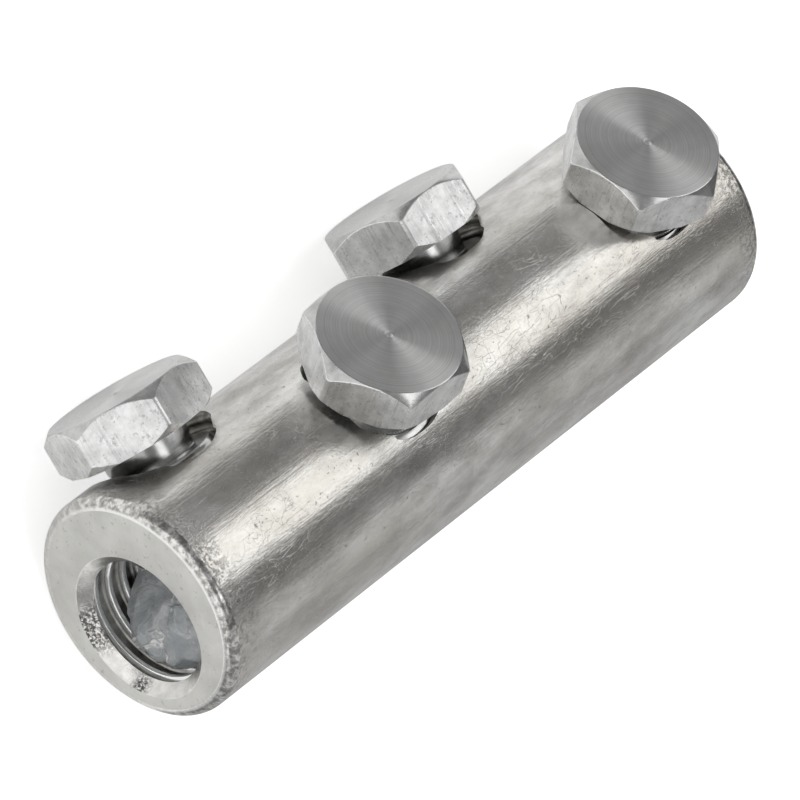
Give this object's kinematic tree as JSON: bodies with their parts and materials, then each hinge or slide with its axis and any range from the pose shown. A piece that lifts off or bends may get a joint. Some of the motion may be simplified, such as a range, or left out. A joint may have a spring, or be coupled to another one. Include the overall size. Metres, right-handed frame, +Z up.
{
  "type": "shear bolt cable connector",
  "caption": "Turned metal tube connector with a blind grooved socket in each end and hexagon shear bolts screwed in along slanted rows.",
  "frame": {"origin": "on the surface the connector lies on, under the middle of its bounding box", "axes": "+X along the barrel, towards the far socket; +Z up; the rear row of bolts leans towards +Y and meets the floor"},
  "size_m": [0.074, 0.0274, 0.026],
  "materials": {
    "barrel": "tinned, satin, with fine scratches",
    "bolt": "turned, bright, with tool marks"
  },
  "bodies": {
    "connector_barrel": {"barrel": "barrel"},
    "bolt_1": {"shear_bolt_1": "bolt"},
    "bolt_2": {"shear_bolt_2": "bolt"},
    "bolt_3": {"shear_bolt_3": "bolt"},
    "bolt_4": {"shear_bolt_4": "bolt"}
  },
  "joints": [
    {"name": "bolt_1_travel", "type": "slide", "parent": "connector_barrel", "child": "bolt_1", "axis": [0, 0.9724, -0.2334], "range_m": [-0.0008, 0.0052]},
    {"name": "bolt_2_travel", "type": "slide", "parent": "connector_barrel", "child": "bolt_2", "axis": [0, 0.7132, 0.7009], "range_m": [-0.00055, 0.0052]},
    {"name": "bolt_3_travel", "type": "slide", "parent": "connector_barrel", "child": "bolt_3", "axis": [0, 0.9724, -0.2334], "range_m": [-0.00015, 0.0052]},
    {"name": "bolt_4_travel", "type": "slide", "parent": "connector_barrel", "child": "bolt_4", "axis": [0, 0.7132, 0.7009], "range_m": [-0.00002, 0.0052]}
  ]
}
